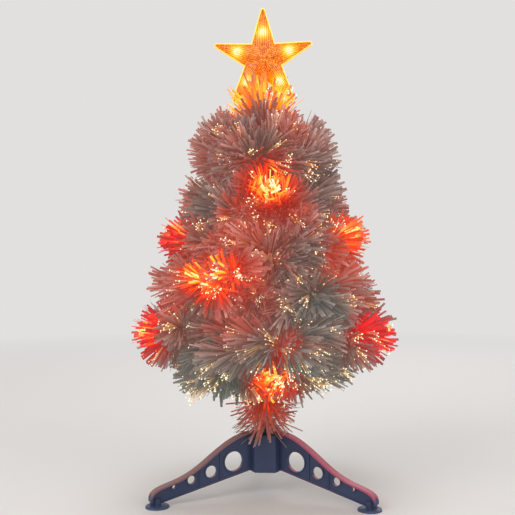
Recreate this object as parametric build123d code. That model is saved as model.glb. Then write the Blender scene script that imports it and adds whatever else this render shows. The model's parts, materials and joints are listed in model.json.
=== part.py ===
from build123d import *
import os
from math import cos, radians, sin, tan

os.makedirs("parts", exist_ok=True)

# A 2 ft table Christmas tree: needled branches hinged on a hollow trunk that carries optical
# fibres, a clear star with lamps on top, and a small three-legged plastic stand with the light.
# The origin is on the trunk's axis at the floor, +Z is up and the front faces -Y.

# Clearances and overruns used all over
seat_gap = 0.1  # between faces that rest on each other
slide_gap = 0.2  # each side of a leg's rail in its slot
fit_gap = 0.05  # radial, between a shaft and its hole
overrun = 1.0  # how far a cut runs past what it cuts

# Stand
leg_directions = {"front_left": 210, "front_right": 330, "back": 90}
foot_reach = 142.0  # trunk axis to the middle of a foot pad
foot_pad_radius = 14.0
foot_pad_thickness = 2.0
foot_neck_radius = 4.5
foot_neck_height = 1.0
foot_stub_radius = 2.5
foot_stub_length = 6.0
hub_base_z = 27.5
hub_height = 46.0
hub_wall = 6.0  # from the light chamber to a wide face
hub_edge_round = 1.6
hub_top_plate = 3.0
chamber_radius = 14.0
rail_wall = 2.4  # from the light chamber to a leg's rail
rail_lip = 2.8  # what holds a leg's rail in its slot
column_radius = 2.8
column_gap = 1.0
socket_wall = 2.2
socket_floor = 2.0
trunk_insertion = 30.0  # how deep the trunk stands in the hub
window_radius = 5.0

# Legs
leg_plate = 2.4
leg_rise = 3.0  # a leg's top over the hub's
heel_rise = 2.0  # a leg's underside over the hub's, beside it
toe_gap = 0.5  # between a leg's end and the neck of its foot pad
leg_toe_overhang = 9.0  # how far a leg's end runs past the pad's middle
leg_flange_width = 10.0
leg_flange_thickness = 2.2
leg_bead_width = 4.4
leg_bead_height = 1.6
leg_rail_width = 8.0
leg_rail_depth = 2.1
leg_boss_wall = 2.0
hole_rim_width = 1.4
rib_width = 1.3
# Along the leg and up it: the top edge from the hub out to the toe
leg_edge_shares = ((0, 1), (0.164, 0.935), (0.443, 0.68), (0.616, 0.5), (0.817, 0.365), (0.967, 0.3))
leg_toe_shares = ((0.8, 0.215), (1, 0.095))  # of the overhang, and up the leg
hole_place_shares = ((0.19, 0.555), (0.438, 0.437), (0.649, 0.35), (0.832, 0.278))
hole_radius_shares = (0.157, 0.095, 0.0655, 0.029)  # of the leg's height
rib_place_shares = (0.337, 0.558)

# Light unit inside the hub
cover_thickness = 2.0
spacer_height = 3.0
board_edge_gap = 0.9
board_thickness = 1.6
board_hole_radius = 1.5
screw_head_radius = 2.3
screw_head_height = 1.2
screw_radius = 1.15
screw_length = 13.0
screw_directions = (90, 210, 330)
lamp_seat_size = 6.0
lamp_seat_height = 1.4
lamp_dome_radius = 2.5
inlet_direction = 30
inlet_height = 14.5  # over the hub's base
inlet_barrel_radius = 4.0
inlet_flange_width = 1.6
inlet_flange_thickness = 1.2
inlet_depth = 8.0
inlet_wall = 1.25
inlet_pin_radius = 1.0
inlet_back_wall = 1.5

# Trunk
trunk_radius = 7.0
trunk_wall = 0.8
trunk_length = 426.5
collar_wall = 1.8
collar_height = 10.0
fibre_hole_radius = 1.6
ferrule_length = 14.0
fibre_radius = 4.6  # the whole bundle at the foot
fibre_end_share = 0.35  # of the radius, above the top tier

# Branches: six tiers of five, from the top down, each tier turned half a step from the next
branches_per_tier = 5
front_direction = 270  # of the first branch of the top tier
tier_height_shares = (0.803, 0.672, 0.552, 0.45, 0.3295, 0.262)  # of the trunk's length
tier_reach_shares = (0.55, 0.63, 0.765, 0.88, 1, 0.77)  # of the foliage radius
tier_rise_degrees = (37, 28, 23, 17, 8, 1)
swing_up_degrees = (15, 15, 18, 20, 25, 30)
foliage_radius = 160.0
brush_half_height = 30.0
brush_gap = 0.6  # between the spaces of neighbouring branches
hinge_ring_wall = 2.2
hinge_ring_height = 8.0
knuckle_width = 4.0
knuckle_wall = 1.8
knuckle_gap = 0.5  # from a knuckle to the ring
knuckle_side_gap = 0.1
lug_thickness = 2.0
lug_reach = 3.0  # a lug's end past its pin
pin_radius = 1.0
stem_radius = 1.5
stem_length = 12.0
brush_root_size = 3.2
brush_sides = 8
# Stations of a brush's core along it, and how much of its space it fills there
core_station_shares = (0.3, 0.6, 0.84, 0.94)
core_fill_shares = (0.66, 0.76, 0.78, 0.5)
strand_width = 3.0
strand_thickness = 1.5
strand_taper_share = 0.6
strand_root_share = 0.25  # of the brush's half width, where a strand starts inside the core
# Rings of strands: how many, first direction, where they start and end, how far out they reach.
# The last ring is of fibres.
strand_ring_shares = (
    (4, 45, 0.34, 0.6, 0.97),
    (4, 0, 0.55, 0.84, 0.97),
    (4, 45, 0.72, 1, 0.78),
)
fibre_ring_shares = (3, 30, 0.75, 1, 0.34)
fibre_strand_width = 1.2

# Lamps at branch ends, by tier and branch, and near the trunk
lamp_places = {"lamp_1": (3, 2), "lamp_2": (3, 5), "lamp_3": (4, 5), "lamp_4": (5, 2), "lamp_5": (5, 5)}
lamp_holder_radius = 3.2
lamp_holder_length = 12.0
lamp_bulb_radius = 2.5
lamp_bulb_length = 5.0
trunk_lamp_places = ((1, 276), (3, 96), (6, 262))  # the tier each hangs under, and its direction

# Needles round the foot and the crown of the trunk
tuft_wall = 3.2
tuft_gap = 5.0  # over the collar and under the lamp, and down from the trunk's top
foot_tuft_reach = 44.0
foot_tuft_degrees = (-8, 6, 20)
crown_tuft_length = 28.0
crown_tuft_reach = 34.0
crown_tuft_degrees = (30, 46, 61)
tuft_strands = 8

# Star
star_points = 5
star_rise = 66.0  # the star's middle over the trunk's top
star_radius = 72.0  # to where the edges of a point would meet
star_notch = 25.0
star_tip_round = 3.0
star_rim_depth = 2.0
star_ridge_height = 8.0
star_face_shares = (0.86, 0.93)  # of the points and notches, for the raised face
star_cavity_shares = (0.79, 0.86)
star_wall = 1.7
star_board_radius = 13.0
star_board_thickness = 1.2
star_arm_width = 5.0
star_arm_reach = 31.0
star_bulb_radius = 2.2
star_bulb_length = 6.0
star_tab_width = 6.0
cap_insertion = 12.0
cap_flange_width = 1.0
cap_flange_height = 3.0
spike_radius = 4.0
spike_length = 32.0
sleeve_wall = 2.0
sleeve_plug = 10.0
sleeve_slot_depth = 4.0

# Places worked out from the sizes above
hub_top_z = hub_base_z + hub_height
trunk_foot_z = hub_top_z - trunk_insertion
trunk_top_z = trunk_foot_z + trunk_length
trunk_bore = trunk_radius - trunk_wall
hub_face_reach = chamber_radius + hub_wall  # trunk axis to a wide face
rail_start = chamber_radius + rail_wall
hub_slot_reach = rail_start + leg_rail_depth + rail_lip  # trunk axis to a narrow face
leg_inner = hub_slot_reach + 2 * slide_gap
leg_span = foot_reach - leg_inner
leg_top_z = hub_top_z + leg_rise
leg_heel_z = hub_base_z + heel_rise
leg_toe_z = foot_pad_thickness + foot_neck_height + toe_gap
column_reach = chamber_radius - column_gap - column_radius
board_radius = chamber_radius - board_edge_gap
board_base_z = hub_base_z + cover_thickness + spacer_height
board_top_z = board_base_z + board_thickness
hinge_slot = knuckle_width + 2 * knuckle_side_gap
knuckle_radius = pin_radius + knuckle_wall
hinge_ring_radius = trunk_radius + hinge_ring_wall
hinge_reach = hinge_ring_radius + knuckle_gap + knuckle_radius  # trunk axis to a hinge pin
half_step = 180 / branches_per_tier
lamp_length = lamp_holder_length + lamp_bulb_length + lamp_bulb_radius
star_center_z = trunk_top_z + star_rise

parts = {}


def place(direction, reach=0, z=0):
    """A place turned about the trunk's axis, then moved out and up."""
    return Pos(0, 0, z) * Rot(0, 0, direction) * Pos(reach, 0, 0)


def rod(radius, length, z=0):
    """A round rod that stands on height z."""
    return Pos(0, 0, z) * Cylinder(radius, length, align=(Align.CENTER, Align.CENTER, Align.MIN))


def plate(size_x, size_y, size_z, x=0, y=0, z=0):
    """A block from x to x plus its length, centred across, that stands on height z."""
    return Pos(x, y, z) * Box(size_x, size_y, size_z, align=(Align.MIN, Align.CENTER, Align.MIN))


def faceted(rings):
    """A closed solid through rings of points, with flat sides between one ring and the next."""
    faces = [Face(Wire.make_polygon(ring)) for ring in (rings[0], rings[-1]) if len(ring) > 1]
    for low, high in zip(rings, rings[1:]):
        for i in range(len(low)):
            j = (i + 1) % len(low)
            corners = [low[i], low[j], high[j], high[i]] if len(high) > 1 else [low[i], low[j], high[0]]
            faces.append(Face(Wire.make_polygon(corners)))
    return Solid(Shell(faces))


def strand(start, end, across, width=strand_width, thickness=strand_thickness):
    """A four-sided strand from start to end, its flat side across."""
    along = (end - start).normalized()
    wide = (across - along * across.dot(along)).normalized() * (width / 2)
    thin = along.cross(wide).normalized() * (thickness / 2)
    ring = [wide + thin, thin - wide, -wide - thin, wide - thin]
    return faceted([[start + p for p in ring], [end + p * strand_taper_share for p in ring]])


def stand_hub():
    """The hub: a six-sided block with a light chamber, a trunk socket and three leg slots."""
    wide = RegularPolygon(hub_face_reach, 3, major_radius=False, rotation=90)
    narrow = RegularPolygon(hub_slot_reach, 3, major_radius=False, rotation=30)
    block = Pos(0, 0, hub_base_z) * extrude(wide & narrow, hub_height)
    block = fillet(block.edges().filter_by(Axis.Z), hub_edge_round)
    block = chamfer(block.faces().sort_by(Axis.Z)[0].edges(), hub_edge_round / 2)
    block = chamfer(block.faces().sort_by(Axis.Z)[-1].edges(), hub_edge_round / 2)
    room_height = hub_height - hub_top_plate
    block -= rod(chamber_radius, room_height + overrun, hub_base_z - overrun)
    socket_radius = trunk_radius + fit_gap
    socket_z = trunk_foot_z - seat_gap
    block += rod(socket_radius + socket_wall, hub_top_z - socket_z - hub_top_plate / 2 + socket_floor,
                 socket_z - socket_floor)
    for direction in screw_directions:
        column = place(direction, column_reach) * rod(column_radius, hub_top_z - board_top_z - seat_gap
                                                      - hub_top_plate / 2, board_top_z + seat_gap)
        pilot = place(direction, column_reach) * rod(screw_radius + fit_gap / 2, screw_length, board_top_z)
        block = block + column - pilot
    block -= rod(socket_radius, hub_height, socket_z)
    block -= rod(window_radius, hub_height, socket_z - socket_floor - overrun)
    for direction in leg_directions.values():
        head = plate(leg_rail_depth + 2 * slide_gap, leg_rail_width + 2 * slide_gap, room_height + overrun,
                     rail_start - slide_gap, 0, hub_base_z - overrun)
        neck = plate(hub_slot_reach - rail_start + overrun, leg_plate + 2 * slide_gap,
                     room_height + overrun, rail_start, 0, hub_base_z - overrun)
        block -= place(direction) * (head + neck)
    hole = rod(inlet_barrel_radius + fit_gap, hub_face_reach, chamber_radius / 2)
    return block - place(inlet_direction, 0, hub_base_z + inlet_height) * Rot(0, 90, 0) * hole


def leg_point(along, up):
    """A point on a leg's outline, from its shares of the span and of the leg's height."""
    return leg_inner + along * leg_span, up * leg_top_z


def leg_underside(x):
    """The height of a leg's straight underside at a distance from the trunk's axis."""
    return leg_heel_z + (leg_toe_z - leg_heel_z) * (x - leg_inner) / leg_span


def stand_leg():
    """A leg along +X: a plate with a curved flange, rimmed holes, ribs and a rail."""
    toe_x = foot_reach + leg_toe_overhang
    top_points = [leg_point(*share) for share in leg_edge_shares]
    top_points += [(foot_reach + out * leg_toe_overhang, up * leg_top_z) for out, up in leg_toe_shares]
    top_edge = Spline(*top_points)
    heel = (leg_inner, leg_heel_z)
    toe = (toe_x, leg_underside(toe_x))
    outline = make_face([top_edge, Line(top_edge @ 1, toe), Line(toe, heel), Line(heel, top_edge @ 0)])
    steps = 2 * len(top_points)
    inner_points = []
    for i in range(steps + 1):
        direction = top_edge % (i / steps)
        inner_points.append(top_edge @ (i / steps) + Vector(direction.Y, -direction.X) * leg_flange_thickness)
    inner_edge = Spline(*inner_points)
    flange = make_face([top_edge, Line(top_edge @ 1, inner_edge @ 1), inner_edge,
                        Line(inner_edge @ 0, top_edge @ 0)])
    bead = make_face(Polyline(heel, toe, (toe[0], toe[1] + leg_bead_height),
                              (heel[0], heel[1] + leg_bead_height), close=True))
    leg = extrude(Plane.XZ * outline, leg_plate / 2, both=True)
    leg += extrude(Plane.XZ * (flange & outline), leg_flange_width / 2, both=True)
    leg += extrude(Plane.XZ * bead, leg_bead_width / 2, both=True)
    stiffened = extrude(Plane.XZ * outline, leg_bead_width / 2, both=True)
    for share in rib_place_shares:
        leg += stiffened & plate(rib_width, leg_bead_width, leg_top_z, leg_inner + share * leg_span)
    holes = [leg_point(*share) for share in hole_place_shares]
    radii = [share * leg_top_z for share in hole_radius_shares]
    for (x, z), radius in zip(holes, radii):
        leg += Pos(x, 0, z) * Rot(90, 0, 0) * Cylinder(radius + hole_rim_width, leg_bead_width)
    for (x, z), radius in zip(holes, radii):
        leg -= Pos(x, 0, z) * Rot(90, 0, 0) * Cylinder(radius, leg_flange_width)
    boss_height = foot_stub_length + leg_bead_height
    boss_z = foot_pad_thickness + foot_neck_height + seat_gap
    boss_radius = foot_stub_radius + leg_boss_wall
    leg += Pos(foot_reach, 0, 0) * rod(boss_radius, boss_height, boss_z)
    leg -= Pos(foot_reach, 0, 0) * rod(foot_stub_radius + fit_gap, foot_stub_length + seat_gap, boss_z)
    leg -= plate(foot_reach, leg_flange_width, boss_z, leg_inner + leg_span / 2)
    rail_height = hub_top_z - hub_top_plate - seat_gap - leg_heel_z
    leg += plate(leg_rail_depth, leg_rail_width, rail_height, rail_start, 0, leg_heel_z)
    leg += plate(leg_inner - rail_start + leg_plate / 2, leg_plate, rail_height, rail_start, 0, leg_heel_z)
    return leg


def foot_pad():
    """A thin round pad with a neck and a stub that goes up into the leg's boss."""
    pad = rod(foot_pad_radius, foot_pad_thickness)
    pad = chamfer(pad.edges().sort_by(Axis.Z)[-1], foot_pad_thickness / 3)
    pad += rod(foot_neck_radius, foot_neck_height + foot_pad_thickness)
    return pad + rod(foot_stub_radius, foot_stub_length, foot_pad_thickness + foot_neck_height)


def base_cover():
    """The hub's round underside, with a spacer and a sunk hole for each screw."""
    cover = rod(chamber_radius - fit_gap, cover_thickness, hub_base_z)
    for direction in screw_directions:
        at = place(direction, column_reach)
        cover += at * rod(column_radius, board_base_z - hub_base_z - seat_gap, hub_base_z)
        cover -= at * rod(board_hole_radius, board_base_z, hub_base_z - overrun)
        cover -= at * rod(screw_head_radius + slide_gap, screw_head_height + overrun, hub_base_z - overrun)
    return cover


def cover_screws():
    """Three screws up through the cover and the board into the hub's columns."""
    screw = rod(screw_head_radius, screw_head_height, hub_base_z)
    screw += rod(screw_radius, screw_length, hub_base_z)
    screw -= Pos(0, 0, hub_base_z) * Box(screw_head_radius, screw_head_height / 2, screw_head_height)
    return [place(direction, column_reach) * screw for direction in screw_directions]


def light_board():
    """The round circuit board, and the lamp on it that shines up into the fibres."""
    board = rod(board_radius, board_thickness, board_base_z)
    for direction in screw_directions:
        board -= place(direction, column_reach) * rod(board_hole_radius, board_thickness, board_base_z)
    seat = plate(lamp_seat_size, lamp_seat_size, lamp_seat_height, -lamp_seat_size / 2)
    lamp = Pos(0, 0, board_top_z) * (seat + Pos(0, 0, lamp_seat_height) * Sphere(lamp_dome_radius))
    lamp -= rod(lamp_seat_size, board_top_z)
    return [board, lamp]


def dc_inlet():
    """The low-voltage socket in a back face of the hub, its centre pin inside."""
    body = rod(inlet_barrel_radius, inlet_depth + inlet_back_wall, -inlet_depth - inlet_back_wall)
    body += rod(inlet_barrel_radius + inlet_flange_width, inlet_flange_thickness)
    body -= rod(inlet_barrel_radius - inlet_wall, inlet_depth + inlet_flange_thickness, -inlet_depth)
    body += rod(inlet_pin_radius, inlet_depth, -inlet_depth)
    return place(inlet_direction, hub_face_reach, hub_base_z + inlet_height) * Rot(0, 90, 0) * body


def tier_z(tier):
    """The height of a tier's hinge pins."""
    return trunk_foot_z + trunk_length * tier_height_shares[tier]


def branch_direction(tier, number):
    """The direction of a branch, where every second tier is turned half a step."""
    return front_direction + (tier % 2 + 2 * number) * half_step


def trunk_tube():
    """The hollow trunk, with a hole for the fibres over each branch's hinge."""
    tube = rod(trunk_radius, trunk_length, trunk_foot_z) - rod(trunk_bore, trunk_length, trunk_foot_z)
    holes = []
    for tier in range(len(tier_height_shares)):
        z = tier_z(tier) + hinge_ring_height / 2 + 2 * fibre_hole_radius
        for number in range(branches_per_tier):
            hole = rod(fibre_hole_radius, trunk_radius + overrun)
            holes.append(place(branch_direction(tier, number), 0, z) * Rot(0, 90, 0) * hole)
    return tube.cut(*holes)


def trunk_collar():
    """The sleeve on the trunk that stops it at the hub's top."""
    sleeve = rod(trunk_radius + collar_wall, collar_height, hub_top_z + seat_gap)
    sleeve = chamfer(sleeve.edges().sort_by(Axis.Z)[-1], trunk_wall)
    return sleeve - rod(trunk_radius + fit_gap / 2, hub_height, hub_top_z)


def fibre_ferrule():
    """The plug in the trunk's foot that grips the fibres over the light."""
    plug = rod(trunk_bore - fit_gap / 2, ferrule_length, trunk_foot_z)
    return plug - rod(fibre_radius + fit_gap / 2, ferrule_length, trunk_foot_z)


def fibre_bundle():
    """The fibres in the trunk, thinner past each tier that takes its share of them."""
    heights = [trunk_foot_z] + [tier_z(tier) for tier in reversed(range(len(tier_height_shares)))]
    heights.append(trunk_top_z - 2 * cap_insertion)
    bundle = None
    for i, (low, high) in enumerate(zip(heights, heights[1:])):
        share = 1 - (1 - fibre_end_share) * i / len(tier_height_shares)
        length = rod(fibre_radius * share, high - low, low)
        bundle = length if bundle is None else bundle + length
    return bundle


def hinge_collar(tier):
    """One tier's ring round the trunk, with a pair of lugs for each branch."""
    base = tier_z(tier) - hinge_ring_height / 2
    collar = rod(hinge_ring_radius, hinge_ring_height, base)
    width = hinge_slot + 2 * lug_thickness
    lugs = [collar]
    for number in range(branches_per_tier):
        at = place(branch_direction(tier, number))
        length = hinge_reach + lug_reach - trunk_radius
        lug = plate(length, width, hinge_ring_height, trunk_radius, 0, base)
        lug -= plate(length, hinge_slot, hinge_ring_height, hinge_ring_radius, 0, base)
        lugs.append(at * lug)
    collar = lugs[0].fuse(*lugs[1:])
    cuts = [rod(trunk_radius + fit_gap / 2, hinge_ring_height, base)]
    for number in range(branches_per_tier):
        at = place(branch_direction(tier, number), hinge_reach, tier_z(tier)) * Rot(90, 0, 0)
        cuts.append(at * Cylinder(pin_radius + fit_gap / 2, 2 * width))
    return collar.cut(*cuts)


def hinge_pins():
    """A pin through each pair of lugs."""
    pins = []
    for tier in range(len(tier_height_shares)):
        for number in range(branches_per_tier):
            at = place(branch_direction(tier, number), hinge_reach, tier_z(tier)) * Rot(90, 0, 0)
            pins.append(at * Cylinder(pin_radius, hinge_slot + 2 * lug_thickness))
    return pins


def branch_length(tier):
    """From a branch's hinge pin to the ends of its outermost needles."""
    return (foliage_radius * tier_reach_shares[tier] - hinge_reach) / cos(radians(tier_rise_degrees[tier]))


def brush_half_width(tier, u):
    """Half the width a branch may have at u along it and still pass its neighbours when raised."""
    raised = radians(tier_rise_degrees[tier] + swing_up_degrees[tier])
    return tan(radians(half_step / 2)) * (hinge_reach + u * cos(raised)) - brush_gap


def branch_stem():
    """A branch's wire end: a knuckle round the hinge pin and a straight stem."""
    knuckle = Rot(90, 0, 0) * Cylinder(knuckle_radius, knuckle_width)
    stem = Rot(0, 90, 0) * rod(stem_radius, stem_length)
    return knuckle + stem - Rot(90, 0, 0) * Cylinder(pin_radius + fit_gap, 2 * knuckle_width)


def brush(tier, with_pocket):
    """A branch's brush along +X: a flat-sided core with strands of needles and fibres fused to it."""
    length = branch_length(tier)
    widest = brush_half_width(tier, length * core_station_shares[-2])
    flatness = min(1, brush_half_height / widest)

    def point(u, out, turn):
        angle = radians(turn)
        half = brush_half_width(tier, u) * out
        return Vector(u, half * cos(angle), half * flatness * sin(angle))

    turns = [360 * (i + 1 / 2) / brush_sides for i in range(brush_sides)]
    root = [Vector(stem_length, brush_root_size * cos(radians(turn)),
                   brush_root_size * flatness * sin(radians(turn))) for turn in turns]
    rings = [root]
    for station, fill in zip(core_station_shares, core_fill_shares):
        rings.append([point(station * length, fill, turn) for turn in turns])
    core = faceted(rings)
    needle_size = (strand_width, strand_thickness)
    fibre_size = (fibre_strand_width, fibre_strand_width)
    kinds = [(ring, needle_size) for ring in strand_ring_shares] + [(fibre_ring_shares, fibre_size)]
    strands = []
    for (count, first, start, end, out), size in kinds:
        for i in range(count):
            turn = first + 360 * i / count
            across = Vector(0, -sin(radians(turn)), cos(radians(turn)))
            from_point = point(start * length, strand_root_share, turn)
            strands.append(strand(from_point, point(end * length, out, turn), across, *size))
    whole = core.fuse(*strands)
    if with_pocket:
        pocket = 2 * (lamp_holder_radius + slide_gap)
        whole -= plate(length, pocket, pocket, lamp_floor(tier), 0, -pocket / 2)
    return whole


def lamp_floor(tier):
    """Where a lamp's holder starts, in the end of a branch's core."""
    return branch_length(tier) * core_station_shares[-1] - lamp_holder_length - lamp_bulb_radius / 2


def lamp():
    """A lamp along +Z: a round holder and a domed bulb."""
    holder = rod(lamp_holder_radius, lamp_holder_length)
    bulb = rod(lamp_bulb_radius, lamp_bulb_length, lamp_holder_length)
    return holder + bulb + Pos(0, 0, lamp_holder_length + lamp_bulb_length) * Sphere(lamp_bulb_radius)


def on_branch(tier, number):
    """From a branch's own frame, +X along it from its hinge pin, to its place on the tree."""
    at = place(branch_direction(tier, number), hinge_reach, tier_z(tier))
    return at * Rot(0, -tier_rise_degrees[tier], 0)


def tuft(low, high, reach, rises):
    """Needles round the trunk: an eight-sided core with rings of strands that stand out of it."""
    hole_radius = (trunk_radius + slide_gap) / cos(radians(180 / brush_sides))
    core_radius = hole_radius + tuft_wall

    def ring(radius, z):
        steps = range(brush_sides)
        return [Vector(radius * cos(radians(360 * (i + 1 / 2) / brush_sides)),
                       radius * sin(radians(360 * (i + 1 / 2) / brush_sides)), z) for i in steps]

    core = faceted([ring(core_radius, low), ring(core_radius, high)])
    core -= faceted([ring(hole_radius, low - overrun), ring(hole_radius, high + overrun)])
    strands = []
    for level, rise in enumerate(rises):
        z = low + (high - low) * (level + 1 / 2) / len(rises)
        start_radius = hole_radius + tuft_wall / 2
        for i in range(tuft_strands):
            turn = radians(360 * (i + min(level, 1) / 2) / tuft_strands)
            outward = Vector(cos(turn), sin(turn), 0)
            start = outward * start_radius + Vector(0, 0, z)
            end = outward * reach + Vector(0, 0, z + (reach - start_radius) * tan(radians(rise)))
            strands.append(strand(start, end, Vector(-sin(turn), cos(turn), 0)))
    return core.fuse(*strands)


def trunk_lamp_z(tier):
    """Where the foot of a lamp is that stands against the trunk just under a tier's ring."""
    return tier_z(tier) - hinge_ring_height / 2 - knuckle_gap - lamp_length


def trunk_lamps():
    """Lamps that stand against the trunk, each just under a tier's ring."""
    reach = trunk_radius + lamp_holder_radius + seat_gap
    return [place(turn, reach, trunk_lamp_z(tier - 1)) * lamp() for tier, turn in trunk_lamp_places]


def top_spike():
    """The plug in the trunk's top, with the shoulder and the spike that hold the star."""
    cap = rod(trunk_bore - fit_gap / 2, cap_insertion, trunk_top_z - cap_insertion)
    cap += rod(trunk_radius + cap_flange_width, cap_flange_height, trunk_top_z)
    spike = rod(spike_radius, spike_length, trunk_top_z + cap_flange_height)
    return cap + chamfer(spike.edges().sort_by(Axis.Z)[-1], spike_radius / 2)


def star_outline(tip, notch, center_z, y):
    """The ten corners of an upright five-pointed star at depth y."""
    corners = []
    for i in range(2 * star_points):
        radius = tip if i % 2 == 0 else notch
        angle = radians(90 + 180 * i / star_points)
        corners.append(Vector(radius * cos(angle), y, center_z + radius * sin(angle)))
    return corners


def star_shell(side):
    """Half of the star: a rim with rounded points, two raised facets a point and a hollow inside."""
    flat = make_face(Polyline(*[(p.X, p.Z) for p in star_outline(star_radius, star_notch, star_center_z, 0)],
                              close=True))
    tips = [v for v in flat.vertices()
            if (Vector(v.X, v.Y) - Vector(0, star_center_z)).length > (star_radius + star_notch) / 2]
    flat = fillet(tips, star_tip_round)
    rim = extrude(Plane.XZ * flat, -side * star_rim_depth)
    tip, notch = (size * share for size, share in zip((star_radius, star_notch), star_face_shares))
    apex = Vector(0, side * (star_rim_depth + star_ridge_height), star_center_z)
    raised = faceted([star_outline(tip, notch, star_center_z, side * star_rim_depth / 2), [apex]])
    tip, notch = (size * share for size, share in zip((star_radius, star_notch), star_cavity_shares))
    hollow_apex = Vector(0, side * (star_rim_depth + star_ridge_height - star_wall), star_center_z)
    hollow = faceted([star_outline(tip, notch, star_center_z, 0), [hollow_apex]])
    sleeve = rod(spike_radius + sleeve_wall + 2 * fit_gap, star_center_z - trunk_top_z, trunk_top_z)
    keep = star_center_z - star_board_radius
    return rim + raised - hollow - (sleeve - rod(star_radius, star_radius, keep))


def sleeve_top_z():
    """The top of the star's sleeve, just under the star's board."""
    return trunk_top_z + cap_flange_height + spike_length + sleeve_plug


def star_socket():
    """The sleeve that pushes onto the spike, slotted at its top for the star's board."""
    base = trunk_top_z + cap_flange_height + seat_gap
    outside = rod(spike_radius + sleeve_wall, sleeve_top_z() - base, base)
    inside = rod(spike_radius + fit_gap, spike_length + seat_gap, base)
    slot = Pos(0, 0, sleeve_top_z() - sleeve_slot_depth / 2) * Box(
        star_tab_width + 2 * slide_gap, star_board_thickness + 2 * fit_gap, sleeve_slot_depth)
    return outside - inside - slot


def star_lights():
    """The star's flat board with an arm to each point, and a bulb at the end of each arm."""
    board = Rot(90, 0, 0) * Cylinder(star_board_radius, star_board_thickness)
    arms = []
    bulbs = []
    for i in range(star_points):
        turn = Rot(0, -(90 + 360 * i / star_points), 0)
        arms.append(turn * Box(star_arm_reach, star_board_thickness, star_arm_width,
                               align=(Align.MIN, Align.CENTER, Align.CENTER)))
        bulb = Rot(0, 90, 0) * (rod(star_bulb_radius, star_bulb_length)
                                + Pos(0, 0, star_bulb_length) * Sphere(star_bulb_radius))
        bulbs.append(Pos(0, 0, star_center_z) * turn * Pos(star_arm_reach, 0, 0) * bulb)
    tab_foot = sleeve_top_z() - sleeve_slot_depth + seat_gap
    tab = Box(star_tab_width, star_board_thickness, star_center_z - tab_foot,
              align=(Align.CENTER, Align.CENTER, Align.MAX))
    return [Pos(0, 0, star_center_z) * board.fuse(*arms, tab)] + bulbs


parts["stand_hub"] = stand_hub()
for side_name, side_direction in leg_directions.items():
    parts[f"stand_leg_{side_name}"] = place(side_direction) * stand_leg()
    parts[f"foot_pad_{side_name}"] = place(side_direction, foot_reach) * foot_pad()
parts["base_cover"] = base_cover()
parts["cover_screws"] = cover_screws()
parts["light_board"] = light_board()
parts["dc_inlet"] = dc_inlet()
parts["trunk_tube"] = trunk_tube()
parts["trunk_collar"] = trunk_collar()
parts["fibre_ferrule"] = fibre_ferrule()
parts["fibre_bundle"] = fibre_bundle()
parts["hinge_collars"] = [hinge_collar(tier) for tier in range(len(tier_height_shares))]
parts["hinge_pins"] = hinge_pins()
foot_low = hub_top_z + collar_height + tuft_gap
foot_high = trunk_lamp_z(len(tier_height_shares) - 1) - tuft_gap
parts["trunk_needles"] = tuft(foot_low, foot_high, foot_tuft_reach, foot_tuft_degrees)
crown_low = trunk_top_z - tuft_gap - crown_tuft_length
parts["crown_needles"] = tuft(crown_low, trunk_top_z - tuft_gap, crown_tuft_reach, crown_tuft_degrees)
parts["trunk_lamps"] = trunk_lamps()
parts["top_spike"] = top_spike()
parts["star_front"] = star_shell(-1)
parts["star_back"] = star_shell(1)
parts["star_socket"] = star_socket()
parts["star_lights"] = star_lights()

lit = {place_of_lamp: name for name, place_of_lamp in lamp_places.items()}
stem = branch_stem()
for tier_index in range(len(tier_height_shares)):
    plain = brush(tier_index, False)
    pocketed = brush(tier_index, True)
    for branch_index in range(branches_per_tier):
        moved = on_branch(tier_index, branch_index)
        key = (tier_index + 1, branch_index + 1)
        parts[f"branch_{key[0]}_{key[1]}"] = [moved * stem, moved * (pocketed if key in lit else plain)]
        if key in lit:
            parts[lit[key]] = moved * Pos(lamp_floor(tier_index), 0, 0) * Rot(0, 90, 0) * lamp()

for name, shape in parts.items():
    solids = shape if isinstance(shape, list) else [shape]
    export_step(Compound(children=[Solid(s.wrapped) if isinstance(s, Solid) else s for s in solids]),
                f"parts/{name}.step")
print(len(parts), "sub-parts written")
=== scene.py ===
"""The looks of a lit 2 ft fibre optic Christmas tree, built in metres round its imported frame."""

import json
import random
from functools import reduce
from math import atan, atan2, cos, pi, radians, sin, sqrt, tan

import bpy
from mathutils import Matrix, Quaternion, Vector


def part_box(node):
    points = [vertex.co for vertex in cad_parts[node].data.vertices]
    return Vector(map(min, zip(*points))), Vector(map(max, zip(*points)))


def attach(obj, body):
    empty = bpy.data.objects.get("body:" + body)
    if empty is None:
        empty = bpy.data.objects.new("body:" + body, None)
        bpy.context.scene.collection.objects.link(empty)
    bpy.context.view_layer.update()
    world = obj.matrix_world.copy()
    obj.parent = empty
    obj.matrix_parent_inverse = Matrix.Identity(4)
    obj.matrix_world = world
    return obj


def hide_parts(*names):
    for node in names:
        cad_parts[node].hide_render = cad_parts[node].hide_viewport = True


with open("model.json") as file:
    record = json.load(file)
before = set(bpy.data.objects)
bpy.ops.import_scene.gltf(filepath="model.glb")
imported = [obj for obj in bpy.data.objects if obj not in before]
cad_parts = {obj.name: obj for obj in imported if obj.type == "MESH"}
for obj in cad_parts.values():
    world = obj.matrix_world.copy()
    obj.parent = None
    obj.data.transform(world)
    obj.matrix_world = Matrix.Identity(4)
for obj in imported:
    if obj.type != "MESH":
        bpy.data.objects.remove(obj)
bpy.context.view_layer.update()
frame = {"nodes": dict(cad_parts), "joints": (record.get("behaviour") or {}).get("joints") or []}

MM = 0.001
UP = Vector((0, 0, 1))

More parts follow.
